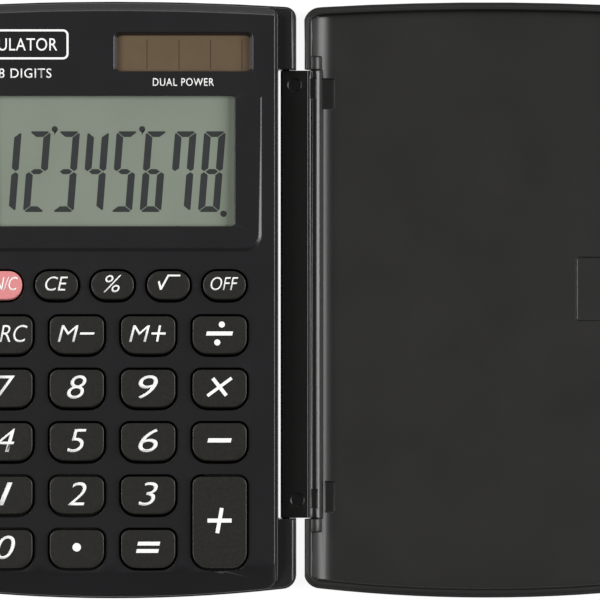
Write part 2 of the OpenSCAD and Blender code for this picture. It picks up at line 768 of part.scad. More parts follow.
module board_screws() color("#b8babd") for (p = board_posts)
    screw(p[0], p[1], board_z - board_t - board_head_t, board_screw_r - thread_fit,
        board_t + board_head_t + board_thread_up - thread_short, board_head_r, board_head_t);

// ---- Hinge link ----

module hinge_link() color("#222225") difference() {
    union() {
        block(body_pin_x, cover_pin_x, link_bottom, link_top, hinge_z - leaf_t / 2, hinge_z + leaf_t / 2);
        rod(body_pin_x, hinge_z, leaf_t / 2, link_bottom, link_top);
        rod(cover_pin_x, hinge_z, barrel_r, link_bottom, link_top);
        for (x = [body_pin_x, cover_pin_x]) rod(x, hinge_z, pin_r, link_bottom - pin_l, link_top + pin_l);
    }
    // Flats on the barrel and dimples in the leaf, near both ends
    flat_z = hinge_z + barrel_r - 0.2;
    block(cover_pin_x - barrel_r, cover_pin_x + 0.3, link_top - 4.7, link_top - 1.3, flat_z, flat_z + 1);
    block(cover_pin_x - 0.5, cover_pin_x + 0.5, link_bottom + 1.7, link_bottom + 4.7, flat_z, flat_z + 1);
    translate([-0.9, link_top - 2.4, hinge_z + leaf_t / 2 - 0.3]) cylinder(r = 1.1, h = 1);
    translate([-0.4, link_bottom + 3, hinge_z + leaf_t / 2 - 0.3]) cylinder(r = 1.1, h = 1);
}

// ---- Cover ----

curve_x = cover_left + sqrt(pow(cover_curve_r, 2) - pow(cover_curve_r - cover_t, 2));
free_x = cover_left + body_w - cover_free_r;

// Section across the cover, thickness t in from the outside, its open side carried up to z_top
function cover_section(t, z_top) =
    let (
        r = cover_curve_r - t,
        start = 180 + asin((cover_curve_r - cover_t) / r),
        sweep = 270 - start
    )
    concat(
        [[curve_x + r * cos(start), z_top]],
        [for (i = [0:curve_steps]) let (a = start + sweep * i / curve_steps)
            [curve_x + r * cos(a), cover_curve_r + r * sin(a)]],
        corner_arc(free_x, cover_free_r, cover_free_r - t, -90),
        [[free_x + cover_free_r - t, z_top]]
    );

module cover_outside() intersection() {
    hull() {
        cover_slab(cover_chamfer, 0, slice);
        cover_slab(0, cover_chamfer, cover_t);
    }
    along_y(cover_section(0, cover_t));
}

// Round corners at the hinge side, and tight ones at the free edge, which the raised face fills
module cover_cavity() intersection() {
    cover_slab(cover_wall, 0, cover_t + overcut, cavity_free_r + cover_wall);
    prism(bowed(cover_left + cover_wall, cover_left + 2 * body_w, cover_mid, cover_l / 2,
        cover_wall, cover_wall, cavity_hinge_r + cover_wall, cavity_hinge_r + cover_wall), 0, cover_t + overcut);
    along_y(cover_section(cover_wall, cover_t + overcut));
}

module cover_shell() difference() {
    cover_outside();
    // The step round the outside of the rim
    difference() {
        cover_slab(-overcut, cover_t - rim_step_h, cover_t + overcut);
        cover_slab(rim_step_w, cover_t - 2 * rim_step_h, cover_t + 2 * overcut);
    }
    cover_cavity();
}

// Bosses round the cover's pin line, beyond both ends of the link
module knuckles() intersection() {
    for (y = [notch_bottom - pin_l, notch_top]) rod(cover_pin_x, hinge_z, knuckle_r, y, y + pin_l);
    along_y(cover_section(0, cover_t));
}

module cover() color("#2d2d2f") difference() {
    union() {
        cover_shell();
        knuckles();
        // Webs that carry the bosses down to the cover's floor
        for (y = [notch_bottom - pin_l, notch_top]) intersection() {
            block(cover_left, cover_pin_x + knuckle_r, y, y + pin_l, 0, hinge_z);
            along_y(cover_section(0, cover_t));
        }
    }
    // Room for the barrel and the leaf, with a lip left under the barrel's edge
    block(0, lip_x, notch_bottom, notch_top, -overcut, cover_t + overcut);
    block(0, barrel_wall_x, notch_bottom, notch_top, hinge_z, cover_t + overcut);
    rod(cover_pin_x, hinge_z, barrel_r + barrel_gap, notch_bottom, notch_top);
    rod(cover_pin_x, hinge_z, pin_r + pin_fit, notch_bottom - pin_l, notch_top + pin_l);
    // Relief pockets beside the barrel's ends
    block(barrel_wall_x - 0.3, curve_x + 0.1, notch_top - 6.3, notch_top - 1.4,
        cover_wall - relief_deep, cover_t + overcut);
    block(barrel_wall_x + 0.2, curve_x + 0.1, notch_bottom + 1, notch_bottom + 6,
        cover_wall - relief_deep, cover_t + overcut);
    // Shallow panel in the inner floor, near the free edge
    prism(rounded(cover_left + 45, free_x - 0.2, -3.36, 7.04, 0.4, 0.4), cover_wall - 0.1, cover_t);
}

// ---- Keys ----

module key(k) color(k[0] == "key_on_clear" ? "#e78f90" : "#262628") {
    prism(key_outline(k, flange_out), flange_z, flange_z + flange_t);
    prism(key_outline(k, 0), flange_z + flange_t / 2, key_top_z);
}

lower_case();
upper_case();
display_lens();
lcd_panel();
lcd_reflector();
zebra_connector();
solar_cell();
solar_leads();
circuit_board();
chip_blob();
board_components();
key_mat();
button_cell();
contact_positive();
contact_negative();
battery_door();
battery_door_screw();
case_screws();
board_screws();
hinge_link();
cover();
for (k = KEYS) key(k);
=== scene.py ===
"""A pocket calculator with a folding cover, laid open on a white light table.

Metres, in the part's own frame: +X towards the cover, +Y towards the display end, +Z up.
"""
import json
import math

import bmesh
import bpy
from mathutils import Matrix, Vector


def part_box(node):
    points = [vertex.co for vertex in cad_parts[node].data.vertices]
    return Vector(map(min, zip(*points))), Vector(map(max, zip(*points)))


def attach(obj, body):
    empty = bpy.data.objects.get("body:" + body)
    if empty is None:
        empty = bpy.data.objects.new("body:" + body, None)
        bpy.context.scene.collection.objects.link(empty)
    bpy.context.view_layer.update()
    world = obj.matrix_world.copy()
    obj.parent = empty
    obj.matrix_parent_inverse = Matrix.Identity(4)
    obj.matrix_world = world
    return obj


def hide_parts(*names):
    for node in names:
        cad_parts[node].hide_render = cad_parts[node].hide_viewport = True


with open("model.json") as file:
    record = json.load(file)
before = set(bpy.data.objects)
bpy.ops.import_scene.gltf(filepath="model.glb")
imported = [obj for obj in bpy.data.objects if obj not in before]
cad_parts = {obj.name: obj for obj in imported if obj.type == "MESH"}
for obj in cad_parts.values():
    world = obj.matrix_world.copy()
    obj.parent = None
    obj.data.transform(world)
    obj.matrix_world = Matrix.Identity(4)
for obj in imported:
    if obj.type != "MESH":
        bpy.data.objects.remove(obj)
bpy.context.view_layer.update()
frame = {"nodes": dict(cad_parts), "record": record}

MM = 0.001


# ---- Sizes ----

MERGE = 0.02 * MM  # vertices closer than this are one
INK = 0.012 * MM  # thickness of printed ink
INK_LIFT = 0.004 * MM  # ink stands this far off its surface, so that the two never share a plane
LEGEND_SLANT = 0.24  # sideways lean of the key legends for each unit of height
KEY_SAG = 0.22 * MM  # how far a key's lower edge sags, which puts its box's middle below the key's
KEY_PROUD = 0.7 * MM  # height of the keys above the face
KEY_LEAN = 0.25 * MM  # how far a key's front side leans back above the face
COVER_FILLET = 0.5 * MM  # inside the cover, between its end walls and its floor
COVER_END = 5 * MM  # the cover's end walls lie within this of its ends
COVER_RIM = 0.3 * MM  # the fillet keeps this far below the cover's highest point
INSIDE_CORNER = math.radians(-60)  # edges that turn inward by more than this are inside corners
FILLET_STEPS = 6
SHARP = math.radians(32)  # edges that turn by more than this are rounded
FLAT = 12  # square millimetres: a face larger than this is shaded flat
MOULDED_EDGE = 0.16 * MM  # rounding of the edges of the front shell and the cover
BACK_EDGE = 0.15 * MM
KEY_EDGE = 0.13 * MM
THIN_EDGE = 0.1 * MM  # of the cell door and the hinge leaf
SCREW_EDGE = 0.05 * MM


# ---- Colours and nodes ----

def colour(code):
    """An sRGB hex colour as linear red, green, blue and alpha."""
    channels = [int(code[i:i + 2], 16) / 255 for i in (1, 3, 5)]
    return [c / 12.92 if c <= 0.04045 else ((c + 0.055) / 1.055) ** 2.4 for c in channels] + [1.0]


def add(tree, kind, inputs=None, **settings):
    """Adds a node with its settings, and sets or links its inputs."""
    node = tree.nodes.new(kind)
    for name, value in settings.items():
        setattr(node, name, value)
    for name, value in (inputs or {}).items():
        if isinstance(value, bpy.types.NodeSocket):
            tree.links.new(value, node.inputs[name])
        else:
            node.inputs[name].default_value = value
    return node


def new_material(name):
    """An empty material, its node tree and the place on the object that patterns read."""
    material = bpy.data.materials.new(name)
    material.use_nodes = True
    material.node_tree.nodes.clear()
    where = add(material.node_tree, "ShaderNodeTexCoord").outputs["Object"]
    return material, material.node_tree, where


def surface(tree, inputs):
    """Ends a node tree in one Principled surface."""
    shader = add(tree, "ShaderNodeBsdfPrincipled", inputs)
    add(tree, "ShaderNodeOutputMaterial", {"Surface": shader.outputs["BSDF"]})


def noise(tree, where, size, detail=2.0):
    """Soft noise whose grains are about size metres across, from 0 to 1."""
    return add(tree, "ShaderNodeTexNoise",
               {"Vector": where, "Scale": 1 / size, "Detail": detail}).outputs["Fac"]


def spread(tree, value, low, high):
    """Noise, which keeps near its middle, spread over low to high."""
    return add(tree, "ShaderNodeMapRange",
               {"Value": value, "From Min": 0.3, "From Max": 0.7, "To Min": low, "To Max": high}).outputs["Result"]


def blend(tree, factor, first, second):
    """A colour between two."""
    node = add(tree, "ShaderNodeMix", data_type="RGBA")
    tree.links.new(factor, node.inputs[0])
    node.inputs[6].default_value = colour(first)
    node.inputs[7].default_value = colour(second)
    return node.outputs[2]


def grain(tree, height, depth, strength=1.0, under=None):
    """A bump of that depth in metres."""
    inputs = {"Height": height, "Distance": depth, "Strength": strength}
    if under is not None:
        inputs["Normal"] = under
    return add(tree, "ShaderNodeBump", inputs).outputs["Normal"]


# ---- Materials ----

def spark_abs(name, dark, light, rough, spark=0.16 * MM, depth=0.006 * MM):
    """Black ABS moulded against a spark-eroded tool: an even fine grain, satin, a little uneven in sheen."""
    material, tree, where = new_material(name)
    cloud = noise(tree, where, 14 * MM, 3.0)
    pits = noise(tree, where, spark, 1.0)
    surface(tree, {
        "Base Color": blend(tree, spread(tree, cloud, 0.0, 1.0), dark, light),
        "Roughness": spread(tree, cloud, rough - 0.01, rough + 0.01),
        "Normal": grain(tree, pits, depth),
        "IOR": 1.52,
    })
    return material


def key_abs(name, dark, light, rough):
    """ABS key tops from a polished and lightly blasted tool: smoother than the case, with a faint orange peel."""
    material, tree, where = new_material(name)
    peel = noise(tree, where, 0.5 * MM, 2.0)
    fine = noise(tree, where, 0.12 * MM, 1.0)
    surface(tree, {
        "Base Color": blend(tree, spread(tree, peel, 0.0, 1.0), dark, light),
        "Roughness": spread(tree, peel, rough - 0.02, rough + 0.02),
        "Normal": grain(tree, fine, 0.003 * MM, 1.0, grain(tree, peel, 0.003 * MM)),
        "IOR": 1.52,
    })
    return material


def white_ink():
    """Pad-printed white ink: matt, a touch uneven where the pad left it thin."""
    material, tree, where = new_material("white_ink")
    thin = noise(tree, where, 0.3 * MM, 2.0)
    surface(tree, {
        "Base Color": blend(tree, spread(tree, thin, 0.0, 1.0), "#eef0ec", "#fafbf8"),
        "Roughness": 0.55,
        "Normal": grain(tree, thin, 0.002 * MM),
    })
    return material


def display_glass():
    """The display's polariser film over glass: grey-green, matt."""
    material, tree, where = new_material("display_glass")
    cloud = noise(tree, where, 9 * MM, 2.0)
    fine = noise(tree, where, 0.1 * MM, 1.0)
    surface(tree, {
        "Base Color": blend(tree, spread(tree, cloud, 0.0, 1.0), "#7d8678", "#818a7c"),
        "Roughness": 0.42,
        "Normal": grain(tree, fine, 0.001 * MM),
        "IOR": 1.5,
    })
    return material


def display_ink():
    """Darkened liquid crystal: blue-black, seen through the polariser."""
    material, tree, where = new_material("display_ink")
    cloud = noise(tree, where, 1.5 * MM, 2.0)
    surface(tree, {
        "Base Color": blend(tree, spread(tree, cloud, 0.0, 1.0), "#171b1d", "#1b1f22"),
        "Roughness": 0.6,
    })
    return material


def clear_acrylic():
    """Cast acrylic window with a hard coat: clear, polished."""
    material, tree, where = new_material("clear_acrylic")
    flow = noise(tree, where, 12 * MM, 1.0)
    surface(tree, {
        "Base Color": colour("#5c605a"),
        "Roughness": spread(tree, flow, 0.04, 0.08),
        "IOR": 1.49,
        "Alpha": 0.03,
    })
    return material


def solar_silicon():
    """Amorphous silicon behind glass: brown, its film a little uneven, under a clear glossy face."""
    material, tree, where = new_material("amorphous_silicon")
    film = noise(tree, where, 6 * MM, 3.0)
    surface(tree, {
        "Base Color": blend(tree, spread(tree, film, 0.0, 1.0), "#5c4b38", "#62523e"),
        "Roughness": 0.35,
        "Coat Weight": 0.6,
        "Coat Roughness": 0.08,
    })
    return material


def cell_line():
    """The scribed lines between the solar cell's strips, where the dark back electrode shows."""
    material, tree, where = new_material("cell_line")
    film = noise(tree, where, 1 * MM, 2.0)
    surface(tree, {
        "Base Color": blend(tree, spread(tree, film, 0.0, 1.0), "#3a2f26", "#463a2f"),
        "Roughness": 0.3,
    })
    return material


def plain_metal(name, dark, light, rough, scratch, depth):
    """A metal worked or plated so that fine marks run over it."""
    material, tree, where = new_material(name)
    marks = noise(tree, where, scratch, 4.0)
    surface(tree, {
        "Base Color": blend(tree, spread(tree, marks, 0.0, 1.0), dark, light),
        "Metallic": 1.0,
        "Roughness": spread(tree, marks, rough - 0.06, rough + 0.06),
        "Normal": grain(tree, marks, depth),
    })
    return material


def moulded(name, dark, light, rough, size, depth, ior=1.5):
    """A moulded or coated part: two close tones, with grain of that size and depth."""
    material, tree, where = new_material(name)
    tone = noise(tree, where, size, 3.0)
    surface(tree, {
        "Base Color": blend(tree, spread(tree, tone, 0.0, 1.0), dark, light),
        "Roughness": rough,
        "Normal": grain(tree, tone, depth),
        "IOR": ior,
    })
    return material


def board_laminate():
    """Glass-fibre laminate under green solder mask: the weave shows as faint squares."""
    material, tree, where = new_material("board_laminate")
    warp = add(tree, "ShaderNodeTexWave", {"Vector": where, "Scale": 0.5 / (0.7 * MM)}, bands_direction="X")
    weft = add(tree, "ShaderNodeTexWave", {"Vector": where, "Scale": 0.5 / (0.7 * MM)}, bands_direction="Y")
    weave = add(tree, "ShaderNodeMath", {0: warp.outputs["Fac"], 1: weft.outputs["Fac"]}, operation="MULTIPLY")
    surface(tree, {
        "Base Color": blend(tree, weave.outputs["Value"], "#1c5a32", "#226a3b"),
        "Roughness": 0.35,
        "Normal": grain(tree, weave.outputs["Value"], 0.01 * MM),
    })
    return material


def brushed(name, dark, light):
    """Zinc-plated screw steel: turned, so the marks are fine and close."""
    return plain_metal(name, dark, light, 0.34, 0.25 * MM, 0.003 * MM)


# By the record's slot names. The case and the cover have one slot and two tones of one plastic
MATERIALS = {
    "black_abs": spark_abs("case_abs", "#151416", "#181719", 0.34),
    "black_key": key_abs("key_abs", "#181713", "#1b1a16", 0.4),
    "salmon_key": key_abs("salmon_abs", "#d48384", "#d9898a", 0.4),
    "clear_acrylic": clear_acrylic(),
    "display_glass": display_glass(),
    "display_ink": display_ink(),
    "white_ink": white_ink(),
    "reflector_foil": moulded("reflector_film", "#b4b8ad", "#c0c4b8", 0.5, 1 * MM, 0.002 * MM),
    "dark_silicone": moulded("connector_rubber", "#262628", "#323234", 0.7, 0.4 * MM, 0.004 * MM, 1.43),
    "amorphous_silicon": solar_silicon(),
    "red_pvc": moulded("wire_pvc", "#8a2018", "#962a20", 0.45, 1 * MM, 0.003 * MM),
    "board_laminate": board_laminate(),
    "black_epoxy": moulded("resin_blob", "#101012", "#18181a", 0.2, 3 * MM, 0.02 * MM, 1.55),
    "component_body": moulded("dipped_part", "#a8703a", "#b77c42", 0.35, 1.5 * MM, 0.01 * MM),
    "grey_silicone": moulded("key_mat_rubber", "#4c4c50", "#55555a", 0.65, 0.6 * MM, 0.004 * MM, 1.43),
    "nickel_steel": plain_metal("cell_nickel", "#c6c4bf", "#d4d2cd", 0.26, 0.6 * MM, 0.002 * MM),
    "phosphor_bronze": plain_metal("spring_bronze", "#c49a62", "#d2a970", 0.3, 0.3 * MM, 0.002 * MM),
    "zinc_steel": brushed("screw_zinc", "#a9abad", "#bcbec1"),
}
COVER_ABS = spark_abs("cover_abs", "#1a1918", "#1e1d1c", 0.4, 0.2 * MM, 0.007 * MM)
# The hinge link's copy of the case's black ABS is darker than the case: that darker tone is painted shade of its
# recess between body and cover. Its smoother, finer grain is its own.
SHADED_LINK_ABS = spark_abs("link_abs_painted_shade", "#0a0a09", "#0d0d0c", 0.28, 0.12 * MM, 0.002 * MM)
CELL_LINE = cell_line()


# ---- Making pieces ----

def tidy(bm):
    """Merges what coincides, joins the triangles of each flat and turns the faces out."""
    bmesh.ops.remove_doubles(bm, verts=bm.verts, dist=MERGE)
    bmesh.ops.dissolve_degenerate(bm, edges=bm.edges, dist=MERGE / 4)
    bmesh.ops.dissolve_limit(bm, angle_limit=math.radians(0.5), verts=bm.verts, edges=bm.edges, delimit={"NORMAL"})
    bmesh.ops.recalc_face_normals(bm, faces=bm.faces)


def piece_of(bm, name, body, material, slot, *nodes):
    """Makes the bmesh a piece that rides on body and stands for the nodes."""
    mesh = bpy.data.meshes.new(name)
    bm.to_mesh(mesh)
    bm.free()
    mesh.materials.append(material)
    piece = bpy.data.objects.new(name, mesh)
    bpy.context.scene.collection.objects.link(piece)
    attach(piece, body)
    if nodes:
        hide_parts(*nodes)
    return piece


def soften(bm, width, segments):
    """Rounds the sharp edges and cuts the flats into triangles, in millimetres, where the cutting is exact."""
    bmesh.ops.scale(bm, verts=bm.verts, vec=Vector((1, 1, 1)) / MM)
    sharp = [e for e in bm.edges if e.is_manifold and e.calc_face_angle(0) > SHARP]
    bmesh.ops.bevel(bm, geom=sharp, offset=width / MM, offset_type="OFFSET", segments=segments, profile=0.5,
                    affect="EDGES", clamp_overlap=False, miter_outer="ARC", material=-1)
    for face in bm.faces:
        face.smooth = face.calc_area() < FLAT
    bmesh.ops.triangulate(bm, faces=[f for f in bm.faces if len(f.verts) > 4])
    bmesh.ops.scale(bm, verts=bm.verts, vec=Vector((1, 1, 1)) * MM)


def finished_copy(node, name, body, material, width, segments=3, shape=None):
    """A merged copy of a CAD node with its moulded edges rounded. A function may shape it first."""
    bm = bmesh.new()
    bm.from_mesh(frame["nodes"][node].data)
    tidy(bm)
    if shape is not None:
        shape(bm)
    soften(bm, width, segments)
    slots = {row["node"]: row["material_slot"] for row in frame["record"]["subparts"]}
    piece = piece_of(bm, name, body, material, slots[node], node)
    shading = piece.modifiers.new("even_shading", "WEIGHTED_NORMAL")
    shading.mode = "FACE_AREA"
    shading.weight = 80
    return piece


# ---- Case, hinge and cover ----

def fillet_ends(bm):
    """Rounds the corner between the cover's end walls and its floor.

    Known fault: the bevel throws a few vertices outside the cover, at worst 1.476 mm below its back.
    """
    end = max(v.co.y for v in bm.verts) - COVER_END
    rim = max(v.co.z for v in bm.verts) - COVER_RIM
    corner = [e for e in bm.edges if e.is_manifold and e.calc_face_angle_signed(0) < INSIDE_CORNER
              and all(abs(v.co.y) > end and v.co.z < rim for v in e.verts)]
    bmesh.ops.bevel(bm, geom=corner, offset=COVER_FILLET, offset_type="OFFSET", segments=FILLET_STEPS, profile=0.5,
                    affect="EDGES", material=-1, clamp_overlap=False)


def case_and_cover():
    case = MATERIALS["black_abs"]
    finished_copy("upper_case", "front_shell", "body", case, MOULDED_EDGE)
    finished_copy("lower_case", "back_shell", "body", case, BACK_EDGE)
    finished_copy("battery_door", "cell_door", "body", case, THIN_EDGE)
    finished_copy("hinge_link", "hinge_leaf", "link", SHADED_LINK_ABS, THIN_EDGE)
    finished_copy("cover", "folding_cover", "cover", COVER_ABS, MOULDED_EDGE, shape=fillet_ends)
    for node in ("case_screws", "battery_door_screw"):
        finished_copy(node, node + "_turned", "body", MATERIALS["zinc_steel"], SCREW_EDGE, segments=2)


# ---- Keys ----

def key_names():
    """Every body that is a key."""
    return [name for name in frame["record"]["behaviour"]["bodies"] if name.startswith("key_")]


def key_middle(name):
    """The middle of a key's top, without the sag of its lower edge."""
    low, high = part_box(name)
    return Vector(((low.x + high.x) / 2, (low.y + high.y + KEY_SAG) / 2, high.z))


def lean_front(bm):
    """Leans a key's front side back above the face, so that its top is a little shorter than its foot."""
    ys = [v.co.y for v in bm.verts]
    top = max(v.co.z for v in bm.verts)
    middle = (min(ys) + max(ys)) / 2
    reach = middle - min(v.co.y for v in bm.verts if v.co.z > top - MERGE)
    bmesh.ops.bisect_plane(bm, geom=bm.verts[:] + bm.edges[:] + bm.faces[:],
                           plane_co=(0, 0, top - KEY_PROUD), plane_no=(0, 0, 1))
    for vertex in bm.verts:
        if vertex.co.z > top - MERGE and vertex.co.y < middle:
            vertex.co.y = middle + (vertex.co.y - middle) * (reach - KEY_LEAN) / reach


def keys():
    for name in key_names():
        slot = "salmon_key" if name == "key_on_clear" else "black_key"
        finished_copy(name, name + "_cap", name, MATERIALS[slot], KEY_EDGE, shape=lean_front)


# ---- Printing ----

CAP_RATIO = 0.685  # capital height of the font over its size


def lettering(text, cap, width=None, slant=0.0, weight=0.0, spacing=1.0):
    """A flat bmesh of text about the origin: cap is its capital height and width its whole width, in metres."""
    curve = bpy.data.curves.new("lettering", "FONT")
    curve.body = text
    curve.size = 1.0
    curve.offset = weight
    curve.space_character = spacing
    curve.resolution_u = 6
    letters = bpy.data.objects.new("lettering", curve)
    bpy.context.scene.collection.objects.link(letters)
    bpy.context.view_layer.update()
    mesh = bpy.data.meshes.new_from_object(letters.evaluated_get(bpy.context.evaluated_depsgraph_get()))
    bpy.data.objects.remove(letters)
    bm = bmesh.new()
    bm.from_mesh(mesh)
    bpy.data.meshes.remove(mesh)
    bmesh.ops.scale(bm, verts=bm.verts, vec=(cap / CAP_RATIO, cap / CAP_RATIO, 1.0))
    for vertex in bm.verts:
        vertex.co.x += slant * vertex.co.y
    xs = [v.co.x for v in bm.verts]
    stretch = width / (max(xs) - min(xs)) if width else 1.0
    bmesh.ops.translate(bm, verts=bm.verts, vec=(-(min(xs) + max(xs)) / 2, -cap / 2, 0))
    bmesh.ops.scale(bm, verts=bm.verts, vec=(stretch, 1.0, 1.0))
    bmesh.ops.remove_doubles(bm, verts=bm.verts, dist=0.001 * MM)
    return bm


def outline(bm, points):
    """Adds one flat face through the points, in order, in metres."""
    return bm.faces.new([bm.verts.new((x, y, 0)) for x, y in points])


def bar(bm, start, end, thick, slant=0.0):
    """Adds a straight flat bar between two points. Its ends are cut along the slant when it lies flat."""
    along = Vector((end[0] - start[0], end[1] - start[1], 0))
    across = Vector((-along.y, along.x, 0)).normalized() * thick / 2
    if abs(along.y) < 1e-9:
        across.x += slant * across.y
    ends = [Vector((p[0], p[1], 0)) for p in (start, end)]
    outline(bm, [(p.x, p.y) for p in (ends[0] - across, ends[1] - across, ends[1] + across, ends[0] + across)])


def dot(bm, x, y, radius):
    """Adds a flat round dot."""
    bmesh.ops.create_circle(bm, cap_ends=True, segments=28, radius=radius, matrix=Matrix.Translation((x, y, 0)))


def printed(bm, name, body, place, material, slot, thick=INK):
    """Gives flat printing its thickness, lays it at place and makes it a piece."""
    faces = bm.faces[:]
    for face in faces:
        if face.normal.z < 0:
            face.normal_flip()
    grown = bmesh.ops.extrude_face_region(bm, geom=faces)["geom"]
    bmesh.ops.translate(bm, verts=[v for v in grown if isinstance(v, bmesh.types.BMVert)], vec=(0, 0, thick))
    bmesh.ops.recalc_face_normals(bm, faces=bm.faces)
    bmesh.ops.translate(bm, verts=bm.verts, vec=place)
    return piece_of(bm, name, body, material, slot)


# Key legends that are words, as body: [text, capital height, width, weight], in millimetres. The weight is
# what the font's strokes gain on each side, over its size
WORDS = {
    "key_on_clear": ["ON/C", 2.2, 5.6, -0.002],
    "key_clear_entry": ["CE", 2.3, 3.7, -0.004],
    "key_percent": ["%", 2.78, 2.95, -0.004],
    "key_off": ["OFF", 2.13, 4.5, -0.004],
    "key_memory_recall": ["MRC", 2.8, 7.2, -0.006],
}
LETTER_WEIGHT = -0.006
DIGIT_CAP = 3.8 * MM
DIGIT_W = 3.15 * MM
ONE_RATIO = 0.75  # width of the figure 1 over the others'
LEGEND_UP = 0.26 * MM  # the legends stand this far above their keys' middles


def crossed(bm, first, second, thick_first, thick_second):
    """Adds two bars that cross at the origin as one flat face. Each is given by one end, the second one
    anticlockwise of the first."""
    ends = [Vector(first) * MM, Vector(second) * MM]
    sides = [e.orthogonal().normalized() for e in ends]
    halves = [thick_first * MM / 2, thick_second * MM / 2]
    solve = Matrix((sides[0], sides[1])).inverted()

    def end(which, sign, side):
        return sign * ends[which] + side * halves[which] * sides[which]

    def corner(side_first, side_second):
        return solve @ Vector((side_first * halves[0], side_second * halves[1]))

    outline(bm, [
        end(0, 1, -1), end(0, 1, 1), corner(1, -1), end(1, 1, -1), end(1, 1, 1), corner(1, 1),
        end(0, -1, 1), end(0, -1, -1), corner(-1, 1), end(1, -1, 1), end(1, -1, -1), corner(-1, -1),
    ])


def divide_sign(bm):
    bar(bm, (-2.13 * MM, 0), (2.13 * MM, 0), 0.66 * MM, LEGEND_SLANT)
    for side in (-1, 1):
        dot(bm, side * 0.37 * MM, side * 1.46 * MM, 0.5 * MM)


def multiply_sign(bm):
    crossed(bm, (1.98, 1.45), (-1.1, 1.4), 0.5, 0.6)


def minus_sign(bm):
    bar(bm, (-1.9 * MM, 0), (1.9 * MM, 0), 0.69 * MM, LEGEND_SLANT)


def plus_sign(bm):
    crossed(bm, (1.97, 0), (0.37, 2.05), 0.66, 0.62)


def equals_sign(bm):
    for side in (-1, 1):
        bar(bm, (-1.8 * MM + side * 0.11 * MM, side * 0.6 * MM), (1.8 * MM + side * 0.11 * MM, side * 0.6 * MM),
            0.62 * MM, LEGEND_SLANT)


def point_sign(bm):
    dot(bm, 0, 0, 0.69 * MM)


def root_sign(bm):
    """The root sign: a heavy tick, a thin rise and a level bar, as one outline."""
    points = [(-1.72, 0.3), (-1.38, -1.02), (-1.1, -1.02), (0.08, 1.18), (1.92, 1.18), (1.98, 1.46), (-0.1, 1.46),
              (-1.18, -0.5), (-1.42, 0.44)]
    outline(bm, [(x * MM, y * MM) for x, y in points])


SIGNS = {
    "key_divide": divide_sign, "key_multiply": multiply_sign, "key_minus": minus_sign, "key_plus": plus_sign,
    "key_equals": equals_sign, "key_point": point_sign, "key_square_root": root_sign,
}


def memory_legend(plus):
    """The letter M with a small sign after it."""
    bm = lettering("M", 2.78 * MM, 3.4 * MM, LEGEND_SLANT, LETTER_WEIGHT)
    bmesh.ops.translate(bm, verts=bm.verts, vec=(-1.4 * MM, 0, 0))
    before = set(bm.verts)
    if plus:
        crossed(bm, (1.15, 0), (0.24, 1.32), 0.34, 0.35)
    else:
        bar(bm, (-1.15 * MM, 0), (1.15 * MM, 0), 0.34 * MM, LEGEND_SLANT)
    bmesh.ops.translate(bm, verts=[v for v in bm.verts if v not in before], vec=(1.7 * MM, 0, 0))
    return bm


def key_legends():
    for name in key_names():
        figure = name.removeprefix("key_")
        if name in WORDS:
            text, cap, width, weight = WORDS[name]
            bm = lettering(text, cap * MM, width * MM, LEGEND_SLANT, weight)
        elif name in SIGNS:
            bm = bmesh.new()
            SIGNS[name](bm)
        elif figure.isdigit():
            width = DIGIT_W * (ONE_RATIO if figure == "1" else 1)
            bm = lettering(figure, DIGIT_CAP, width, LEGEND_SLANT, LETTER_WEIGHT)
        else:
            bm = memory_legend(name == "key_memory_plus")
        place = key_middle(name) + Vector((0, LEGEND_UP, INK_LIFT))
        printed(bm, name + "_legend", name, place, MATERIALS["white_ink"], "white_ink")


FRAME_LINE = 0.33 * MM  # line of the frame round the words by the free side
FRAME_R = 0.9 * MM
CORNER_STEPS = 6  # straight pieces in each rounded corner of the frame


def framed_words(low, high, text, cap, width):
    """Words in a rounded frame between two corners of the face."""
    bm = lettering(text, cap, width, 0.0, 0.0, 1.05)
    bmesh.ops.translate(bm, verts=bm.verts, vec=((low[0] + high[0]) / 2, (low[1] + high[1]) / 2, 0))
    turns = []
    for corner, x, y in ((0, high[0], high[1]), (1, low[0], high[1]), (2, low[0], low[1]), (3, high[0], low[1])):
        diagonal = math.radians(90 * corner + 45)
        outward = Vector((math.cos(diagonal), math.sin(diagonal)))
        middle = Vector((x, y)) - outward * FRAME_R * math.sqrt(2)
        for step in range(CORNER_STEPS + 1):
            angle = math.radians(90 * corner + 90 / CORNER_STEPS * step)
            turns.append(middle + FRAME_R * Vector((math.cos(angle), math.sin(angle))))
    inside = outline(bm, turns)
    inside.normal_update()
    bmesh.ops.inset_region(bm, faces=[inside], thickness=FRAME_LINE, use_even_offset=True, use_boundary=True)
    bmesh.ops.delete(bm, geom=[inside], context="FACES")
    return bm


def face_printing():
    """The words on the face: in a frame and under it by the free side, and under the solar cell."""
    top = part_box("upper_case")[1].y
    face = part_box("key_7")[1].z - KEY_PROUD + INK_LIFT
    ink = MATERIALS["white_ink"]
    solar_low, solar_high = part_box("solar_cell")
    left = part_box("lower_case")[0].x
    bm = framed_words((left + 2.9 * MM, top - 9.35 * MM), (left + 22.8 * MM, top - 4.45 * MM), "CALCULATOR",
                      2.0 * MM, 16.2 * MM)
    printed(bm, "kind_words", "body", Vector((0, 0, face)), ink, "white_ink")
    bm = lettering("8 DIGITS", 1.5 * MM, 8.6 * MM, 0.0, 0.004, 1.1)
    printed(bm, "digits_words", "body", Vector((left + 15.7 * MM, top - 11.6 * MM, face)), ink, "white_ink")
    bm = lettering("DUAL POWER", 1.24 * MM, 9.97 * MM, 0.0, 0.004, 1.12)
    middle = (solar_low.x + solar_high.x) / 2
    printed(bm, "power_words", "body", Vector((middle, solar_low.y - 1.1 * MM, face)), ink, "white_ink")


# ---- Display ----

